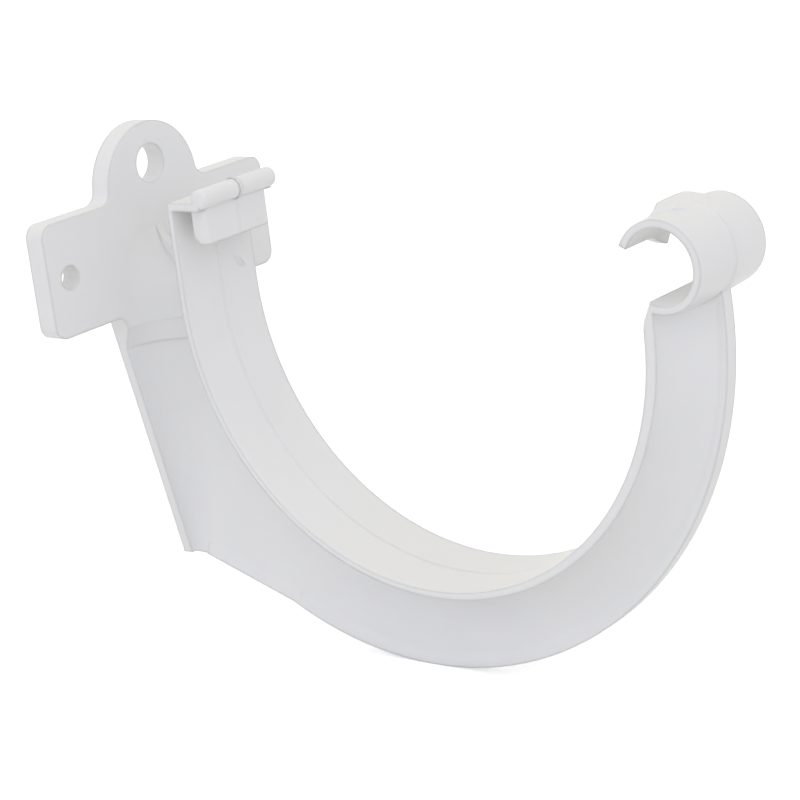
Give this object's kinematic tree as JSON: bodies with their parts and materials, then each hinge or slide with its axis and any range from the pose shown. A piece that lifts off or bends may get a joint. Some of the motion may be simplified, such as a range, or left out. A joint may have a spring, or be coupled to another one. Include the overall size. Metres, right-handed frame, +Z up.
{
  "type": "gutter bracket",
  "caption": "One-piece moulded fascia bracket that cradles a half-round rainwater gutter, with a hook for its rear edge and a snap-over clip for its front bead.",
  "frame": {"origin": "middle of the plate's rear face, on the line through the two arm screws", "axes": "+X points away from the fascia to the front of the gutter, +Y runs along the gutter, +Z is up"},
  "size_m": [0.1509, 0.07, 0.1164],
  "materials": {
    "bracket": "satin white moulded PVC"
  },
  "bodies": {
    "root": {"bracket": "bracket"}
  },
  "joints": []
}
